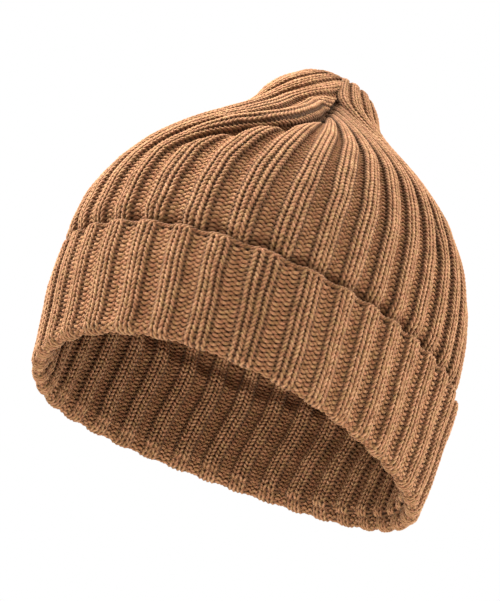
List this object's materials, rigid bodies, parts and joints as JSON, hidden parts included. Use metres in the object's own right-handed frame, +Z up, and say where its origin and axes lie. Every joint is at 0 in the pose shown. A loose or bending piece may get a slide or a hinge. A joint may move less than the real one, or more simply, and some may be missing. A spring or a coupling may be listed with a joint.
{
  "type": "rib-knit beanie with turned-up cuff",
  "caption": "Close-fitting rib-knit beanie: a ribbed tube drawn in by crown darts to a soft pinched tip, with a deep turned-up cuff that can be turned down over the ears.",
  "frame": {"origin": "centre of the brim on the plane that the brim rests on", "axes": "+Z up through the crown, -Y towards the wearer's front, +X towards the wearer's left"},
  "size_m": [0.186, 0.186, 0.173],
  "materials": {
    "knit": "matte wool-blend rib knit, camel heather",
    "thread": "matte sewing yarn, darker camel"
  },
  "bodies": {
    "hat_body": {"inner_band": "knit", "side_wall": "knit", "crown_front_gore": "knit", "crown_right_gore": "knit", "crown_back_gore": "knit", "crown_left_gore": "knit", "dart_seam_front_left": "thread", "dart_seam_front_right": "thread", "dart_seam_back_right": "thread", "dart_seam_back_left": "thread", "gather_thread": "thread", "closing_knot": "thread"},
    "cuff": {"brim_fold": "knit", "turned_up_cuff": "knit", "cast_on_edge": "knit"}
  },
  "joints": [
    {"name": "cuff_turn_down", "type": "slide", "parent": "hat_body", "child": "cuff", "axis": [0, 0, 1], "range_m": [-0.038, 0]}
  ]
}
